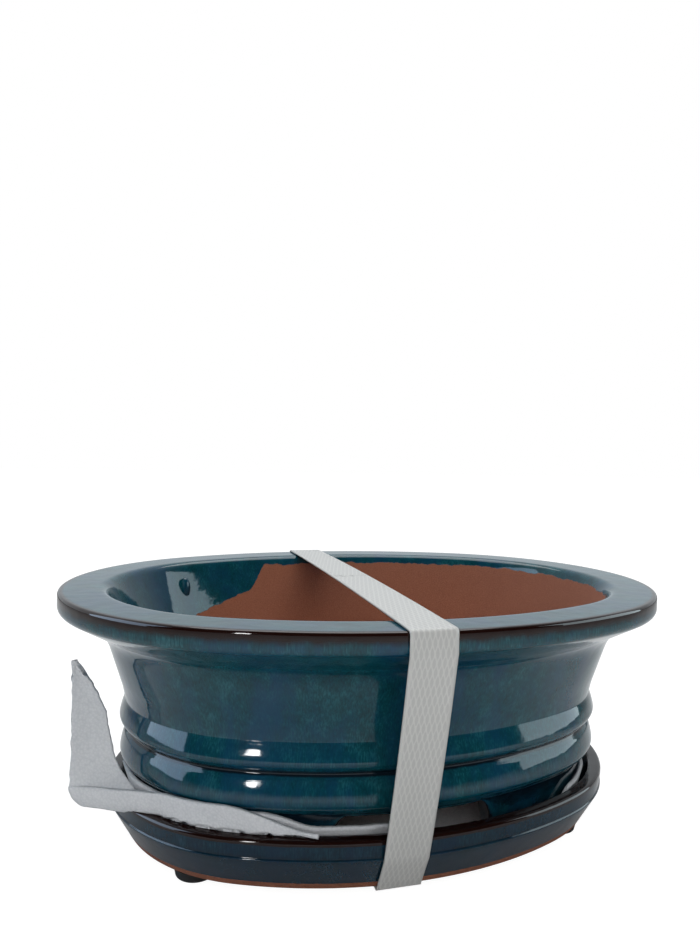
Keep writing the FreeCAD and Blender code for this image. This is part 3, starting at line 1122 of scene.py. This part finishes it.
@dataclass(frozen=True)
class Strap:
    """The packing strap: one flat loop over the rim, down both long sides and under the saucer."""

    left: float
    right: float
    gap: float = 0.2
    thickness: float = 0.6
    bend: float = 1.3
    bow: float = 0.9
    ledge: float = 17.2
    rim_bottom: float = 91.0
    stations: tuple[tuple[float, float], ...] = ((96.0, 98.0), (96.0, 91.0), (76.0, 17.2), (68.5, 4.0))

    def corners(self) -> list[Corner]:
        """The middle of the strap's thickness at each bend, as (along Y, height), once round.

        Returns:
            Corners whose inset is their place along Y.
        """
        off = self.gap + self.thickness / 2
        (top_y, top_z), (edge_y, edge_z), (ledge_y, ledge_z), (foot_y, foot_z) = self.stations
        half = [
            Corner(top_y + off, top_z + off, self.bend),
            Corner(edge_y + off, edge_z, self.bend),
            Corner(ledge_y + off, ledge_z, self.bend),
            Corner(foot_y + off, foot_z - off, self.bend),
        ]
        other = [Corner(-corner.inset, corner.height, corner.radius) for corner in reversed(half)]
        return [Corner(0.0, top_z + off), *half, *other, Corner(0.0, top_z + off)]

    def bowed(self, place: Vector) -> Vector:
        """Lets the strap stand off a little between what it bears on.

        Args:
            place: A point of its route, in millimetres.

        Returns:
            The point, moved outwards.
        """
        if self.ledge < place.y < self.rim_bottom:
            share = (place.y - self.ledge) / (self.rim_bottom - self.ledge)
            return Vector((place.x + math.copysign(self.bow * math.sin(math.pi * share), place.x), place.y))
        if place.y > self.stations[0][1]:
            lift = self.bow * (1 - (place.x / self.stations[0][0]) ** 2)
            return Vector((place.x, place.y + max(lift, 0.0)))
        return place

    def build(self, material: bpy.types.Material) -> bpy.types.Object:
        """Builds the strap.

        Args:
            material: Its strapping.

        Returns:
            The piece.
        """
        bm = bmesh.new()
        along = bm.verts.layers.float.new("along")
        across = bm.verts.layers.float.new("across")
        places = [self.bowed(place) for place, _ in rounded_places(self.corners(), 1.6)]
        verts = []
        run = 0.0
        for before, place in zip([places[0], *places], places):
            run += (place - before).length * MM
            vert = bm.verts.new((self.left, place.x * MM, place.y * MM))
            vert[along] = run
            verts.append(vert)
        edges = [bm.edges.new(pair) for pair in zip(verts, verts[1:])]
        steps = 10
        stride = (self.right - self.left) / steps
        bmesh.ops.spin(bm, geom=[*verts, *edges], axis=UP, angle=0.0, dvec=(stride, 0, 0), steps=steps)
        bmesh.ops.remove_doubles(bm, verts=bm.verts, dist=MERGE_DISTANCE)
        for vert in bm.verts:
            vert[across] = vert.co.x - self.left
        bmesh.ops.recalc_face_normals(bm, faces=bm.faces)
        piece = new_piece(bm, "packing_strap", material)
        thicken = piece.modifiers.new("thickness", "SOLIDIFY")
        thicken.thickness = self.thickness * MM
        thicken.offset = 0.0
        return piece

    def dress(self) -> bpy.types.Object:
        """Builds the strap with its finish and stretches it between the saucer and the pot.

        Returns:
            The piece.
        """
        piece = self.build(EmbossedStrapping().make())
        low, high = self.ledge * MM, self.rim_bottom * MM
        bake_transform(piece, Body.SAUCER.value, Body.POT.value, start=(0, 0, low), end=(0, 0, high))
        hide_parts("strap")
        return piece


@dataclass(frozen=True)
class FoamSheet:
    """The foam sheet: flat under the pot, up against the saucer's wall, with a torn flap at the left."""

    plan: OvalPlan
    thickness: float = 1.5
    bed: float = 9.75
    low_edge: float = 11.2
    front_edge: float = 25.4
    left_edge: float = 30.2
    right_edge: float = 22.8
    core_inset: float = 62.0
    wall: tuple[tuple[float, float], ...] = (
        (9.75, 32.0),
        (11.5, 31.1),
        (21.8, 28.2),
        (27.0, 26.6),
        (31.0, 25.3),
    )
    lip_top: float = 24.9
    lip_inset: float = 19.2
    pot_inset: float = 23.4
    tongue_end: float = -117.5
    tongue_back: float = -26.0
    band_foot: float = 23.5
    band_height: float = 7.4
    band_corner: float = 5.0
    band_tail: tuple[float, float] = (-36.0, -70.4)
    band_flare: float = 3.0
    band_taper: tuple[float, float] = (-66.0, -36.0)
    flap_foot: float = 29.2
    flap_height: float = 45.0
    flap_lean: float = 5.6
    flap_tuck: float = 9.0
    torn_edge: tuple[tuple[float, float], ...] = (
        (29.0, -93.5),
        (35.0, -99.5),
        (39.0, -102.0),
        (44.5, -103.5),
        (55.5, -105.5),
        (66.0, -110.5),
        (74.0, -116.5),
    )

    def wall_inset(self, height: float) -> float:
        """How far in the sheet stands at a height.

        Args:
            height: In millimetres.

        Returns:
            The inset, in millimetres.
        """
        return read_line(self.wall, height)

    def edge_height(self, place: Vector) -> float:
        """Height of the sheet's edge above a place on the oval, torn a little unevenly.

        Args:
            place: A point of the sheet, in metres.

        Returns:
            The height, in millimetres.
        """
        across, along = place.x / MM, place.y / MM
        front = blend_in(6.0, -6.0, along)
        tall = blend_in(-34.0, -54.0, across)
        stands = blend_in(-6.0, -11.0, across) * front
        stood = self.front_edge + (self.left_edge - self.front_edge) * tall
        left = self.low_edge + (stood - self.low_edge) * stands
        right = self.low_edge + (self.right_edge - self.low_edge) * blend_in(62.0, 74.0, across)
        torn = noise.noise(Vector((across / 9.0, along / 9.0, 0))) * 0.5
        frayed = noise.noise(Vector((across / 1.4, along / 1.4, 5))) * 0.2
        return max(left, right) + (torn + frayed) * max(stands, 0.3)

    def lay_bed(self, bm: bmesh.types.BMesh) -> None:
        """Lays the sheet under the pot and turns its edge up.

        Args:
            bm: The mesh.
        """
        top = self.wall[-1][0]
        corners = [Corner(self.core_inset, self.bed), Corner(self.wall[0][1], self.bed, 1.2)]
        corners += [Corner(inset, height) for height, inset in self.wall[1:]]
        section = draw_section(bm, self.plan, corners, 1.2)
        self.plan.sweep(bm, section, 150, 130)
        for vert in bm.verts:
            height = vert.co.z / MM
            if height < self.bed + 0.05:
                continue
            share = (height - self.bed) / (top - self.bed)
            height = self.bed + (self.edge_height(vert.co) - self.bed) * share
            rumple = noise.noise(vert.co * 90.0) * 0.25 * share
            self.plan.put(vert, (self.wall_inset(height) + rumple) * MM, height * MM)
        close_levels(bm, (self.bed * MM,))

    def band_point(self, across: float, up: float) -> Vector:
        """A point of the band that leans out on the saucer's lip, before it is kept clear of pot and lip.

        Args:
            across: From the tongue's end, 0, to the band's tail, 1.
            up: From the band's lower edge, 0, to its fold, 1.

        Returns:
            The point, in millimetres.
        """
        swell = up**1.2
        corner = self.band_corner * (1.0 - up) ** 2
        end = Vector((self.tongue_end + corner, self.tongue_back, self.band_foot + self.band_height * swell))
        tail = Vector((*self.band_tail, self.band_foot + (self.band_height + self.band_flare) * swell))
        return end.lerp(tail, across)

    def flap_point(self, across: float, up: float) -> Vector:
        """A point of the flap that stands beside the pot, before it is kept clear of pot and lip.

        Args:
            across: From the tongue's end, 0, to the torn edge, 1.
            up: From the fold, 0, to the flap's tip, 1.

        Returns:
            The point, in millimetres.
        """
        height = self.flap_foot + self.flap_height * up
        back = self.tongue_back + self.flap_lean * up
        tuck = self.flap_tuck * (1.0 - min(up * 3.7, 1.0)) ** 2
        end = Vector((self.tongue_end, back, height))
        edge = Vector((read_line(self.torn_edge, height), back - tuck, height))
        return end.lerp(edge, across)

    def lay_strip(
        self, bm: bmesh.types.BMesh, point_at: Callable[[float, float], Vector], columns: int, rows: int
    ) -> None:
        """Draws a torn strip, a little curled and frayed, and keeps it clear of the pot and the saucer's lip.

        Args:
            bm: The mesh.
            point_at: Gives the strip's plain point, from how far across and how far up it is.
            columns: Faces across the strip.
            rows: Faces up the strip.
        """
        made = bmesh.ops.create_grid(bm, x_segments=columns, y_segments=rows, size=0.5)
        for vert in made["verts"]:
            across = vert.co.x + 0.5
            point = point_at(across, vert.co.y + 0.5)
            fray = noise.noise(Vector((point.z / 2.6, point.y / 2.6, 9.0 * across))) * 0.45
            point.x += fray * (2 * across - 1)
            wave = noise.noise(Vector((point.x / 6, point.z / 9, 3))) * 0.3
            curl = math.sin(across * math.pi) * 0.5 + wave
            inset = self.plan.locate((point + Vector((0.0, curl, 0.0))) * MM)[2] / MM
            ground = self.lip_top - 1.2 * max(self.lip_inset - inset, 0.0)
            vert.co = (point + Vector((0.0, curl, 0.0))) * MM
            height = ground + (point.z - ground) * (1.0 - 0.96 * blend_in(*self.band_taper, point.x))
            self.plan.put(vert, min(inset, self.pot_inset) * MM, max(height + curl * 0.4, ground) * MM)

    def tear_flap(self, bm: bmesh.types.BMesh) -> None:
        """Adds the torn tongue: a band that leans on the saucer's lip, and a flap that stands at its end.

        Args:
            bm: The mesh.
        """
        self.lay_strip(bm, self.band_point, 70, 12)
        self.lay_strip(bm, self.flap_point, 20, 48)

    def build(self, material: bpy.types.Material) -> bpy.types.Object:
        """Builds the sheet.

        Args:
            material: Its foam.

        Returns:
            The piece.
        """
        bm = bmesh.new()
        self.lay_bed(bm)
        bmesh.ops.recalc_face_normals(bm, faces=bm.faces)
        self.tear_flap(bm)
        piece = new_piece(bm, "foam_wrap_sheet", material)
        thicken = piece.modifiers.new("thickness", "SOLIDIFY")
        thicken.thickness = self.thickness * MM
        thicken.offset = 0.0
        return piece

    def dress(self) -> bpy.types.Object:
        """Builds the sheet with its finish and lays it in the saucer.

        Returns:
            The piece.
        """
        piece = self.build(ExpandedFoam().make())
        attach(piece, Body.SAUCER.value)
        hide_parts("foam_sheet")
        return piece


@dataclass(frozen=True)
class RubberFeet:
    """The four rubber feet and their adhesive discs, which keep their CAD shapes."""

    def dress(self) -> list[bpy.types.Object]:
        """Gives each foot and disc its finish.

        Returns:
            The pieces.
        """
        rubber = SpeckledMatt("rubber_foot_moulded", "#0d0d0e", "#242424", 0.5, 0.62).make()
        film = SpeckledMatt("adhesive_film_cast", "#8b8d8a", "#a5a7a3", 1.5, 0.4).make()
        dressed = []
        for name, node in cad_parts.items():
            if name.startswith(("rubber_foot", "adhesive_disc")):
                for place in node.material_slots:
                    place.material = rubber if name.startswith("rubber") else film
                dressed.append(node)
        return dressed


@dataclass(frozen=True)
class Panel:
    """A soft light that stands round the object and that the camera doesn't see."""

    name: str
    azimuth: float
    elevation: float
    distance: float
    width: float
    height: float
    radiance: float
    colour: str = "#ffffff"
    kind: LightKind = LightKind.FULL

    def place(self, aim: Vector) -> None:
        """Puts the light in the scene.

        Args:
            aim: The point that it faces.
        """
        light = bpy.data.lights.new(self.name, "AREA")
        light.shape = "RECTANGLE"
        light.size = self.width
        light.size_y = self.height
        light.energy = self.radiance * math.pi * self.width * self.height
        light.color = linear(self.colour)[:3]
        lamp = bpy.data.objects.new(self.name, light)
        turn, lift = math.radians(self.azimuth), math.radians(self.elevation)
        away = Vector((math.cos(turn) * math.cos(lift), math.sin(turn) * math.cos(lift), math.sin(lift)))
        lamp.location = aim + away * self.distance
        lamp.rotation_euler = (-away).to_track_quat("-Z", "Y").to_euler()
        lamp.visible_camera = False
        lamp.visible_glossy = self.kind is not LightKind.FILL
        lamp.visible_diffuse = self.kind is not LightKind.GLINT
        bpy.context.scene.collection.objects.link(lamp)


@dataclass(frozen=True)
class Studio:
    """A plain pale floor, soft light all round that is dim in front, and the camera."""

    eye: tuple[float, float, float] = (-0.09346, -0.30559, 0.15092)
    yaw: float = 0.2721
    pitch: float = 0.0126
    roll: float = 0.0212
    lens_mm: float = 28.396
    aim: tuple[float, float, float] = (0.0, 0.0, 0.05)
    panels: tuple[Panel, ...] = (
        Panel("light_overhead", 75, 72, 1.5, 1.2, 1.2, 3.0),
        Panel("light_front", -100, 30, 1.4, 1.4, 0.8, 2.6, kind=LightKind.FILL),
        Panel("light_left", 178, 12, 1.0, 0.66, 1.2, 5.0, "#b4cbe6", LightKind.GLINT),
        Panel("light_right", -16, 8, 1.0, 0.7, 0.95, 4.2, "#cfe0e6", LightKind.GLINT),
        Panel("light_pane_upper", -124.9, 20.5, 1.3, 0.075, 0.11, 40.0, kind=LightKind.GLINT),
        Panel("light_pane_lower", -124.9, 9.0, 1.3, 0.075, 0.18, 40.0, kind=LightKind.GLINT),
    )

    def place_camera(self) -> None:
        """Puts the camera at the viewing angle."""
        level = Vector((math.cos(self.yaw), -math.sin(self.yaw), 0))
        ahead = Vector(
            (
                math.sin(self.yaw) * math.cos(self.pitch),
                math.cos(self.yaw) * math.cos(self.pitch),
                -math.sin(self.pitch),
            )
        )
        above = level.cross(ahead)
        right = level * math.cos(self.roll) + above * math.sin(self.roll)
        top = above * math.cos(self.roll) - level * math.sin(self.roll)
        lens = bpy.data.cameras.new("camera")
        lens.lens = self.lens_mm
        lens.clip_start = 0.01
        camera = bpy.data.objects.new("camera", lens)
        turn = Matrix((right, top, -ahead)).transposed().to_4x4()
        camera.matrix_world = Matrix.Translation(self.eye) @ turn
        bpy.context.scene.collection.objects.link(camera)
        bpy.context.scene.camera = camera

    def hang_sky(self) -> None:
        """Lights the object from all round, brightest behind it and dim in front, before plain white."""
        world = bpy.data.worlds.new("studio")
        world.use_nodes = True
        tree = world.node_tree
        tree.nodes.clear()
        direction = add_node(tree, "ShaderNodeTexCoord").outputs["Generated"]
        parts = add_node(tree, "ShaderNodeSeparateXYZ", None, {0: direction})
        strength = add_node(
            tree,
            "ShaderNodeMapRange",
            {"interpolation_type": "SMOOTHSTEP"},
            {"Value": parts.outputs[1], "From Min": -0.3, "From Max": 0.5, "To Min": 0.02, "To Max": 0.85},
        )
        room = add_node(
            tree, "ShaderNodeBackground", None, {"Color": linear("#e6edf2"), "Strength": strength.outputs[0]}
        )
        paper = add_node(tree, "ShaderNodeBackground", None, {"Color": linear("#ffffff"), "Strength": 1.0})
        seen = add_node(tree, "ShaderNodeLightPath").outputs["Is Camera Ray"]
        mixed = add_node(
            tree, "ShaderNodeMixShader", None, {0: seen, 1: room.outputs[0], 2: paper.outputs[0]}
        )
        add_node(tree, "ShaderNodeOutputWorld", None, {"Surface": mixed.outputs[0]})
        bpy.context.scene.world = world

    def lay_floor(self) -> None:
        """Lays a plain white floor: even and bright to look at, and lit only near the object in its gloss."""
        material, tree = new_material("paper_floor_plain")
        place = add_node(tree, "ShaderNodeTexCoord").outputs["Object"]
        away = add_node(tree, "ShaderNodeVectorMath", {"operation": "LENGTH"}, {0: place})
        lit = add_node(
            tree,
            "ShaderNodeMapRange",
            {"interpolation_type": "SMOOTHSTEP"},
            {"Value": away.outputs["Value"], "From Min": 0.25, "From Max": 0.8, "To Min": 0.8, "To Max": 0.4},
        )
        bounce = add_node(tree, "ShaderNodeBsdfDiffuse", None, {"Color": lit.outputs[0]})
        paper = add_node(
            tree,
            "ShaderNodeBsdfPrincipled",
            None,
            {
                "Base Color": (0.22, 0.22, 0.22, 1.0),
                "Roughness": 0.9,
                "Specular IOR Level": 0.0,
                "Emission Color": (1.0, 1.0, 1.0, 1.0),
                "Emission Strength": 0.95,
            },
        )
        seen = add_node(tree, "ShaderNodeLightPath").outputs["Is Camera Ray"]
        mixed = add_node(
            tree, "ShaderNodeMixShader", None, {0: seen, 1: bounce.outputs[0], 2: paper.outputs[0]}
        )
        add_node(tree, "ShaderNodeOutputMaterial", None, {"Surface": mixed.outputs[0]})
        bm = bmesh.new()
        bmesh.ops.create_grid(bm, x_segments=1, y_segments=1, size=6.0)
        new_piece(bm, "floor", material)

    def build(self) -> None:
        """Sets the camera, the floor, the sky and the lights."""
        self.place_camera()
        self.hang_sky()
        self.lay_floor()
        for panel in self.panels:
            panel.place(Vector(self.aim))
        bpy.context.scene.view_settings.view_transform = "Standard"


def main() -> None:
    """Builds the studio and every piece, and reports each."""
    logging.basicConfig(level=logging.INFO, format="%(name)s: %(message)s")
    Studio().build()
    pot_low, pot_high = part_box("pot")
    strap_low, strap_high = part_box("strap")
    plan = OvalPlan(half_length=pot_high[0], half_width=pot_high[1])
    made = [
        Pot(plan).dress(),
        Saucer(plan).dress(),
        Strap(left=strap_low[0], right=strap_high[0]).dress(),
        FoamSheet(plan).dress(),
        *RubberFeet().dress(),
    ]
    for piece in made:
        LOG.info("%s: %d faces", piece.name, len(piece.data.polygons))
    LOG.info("pot from %s to %s", list(pot_low), list(pot_high))


if __name__ == "__main__":
    main()
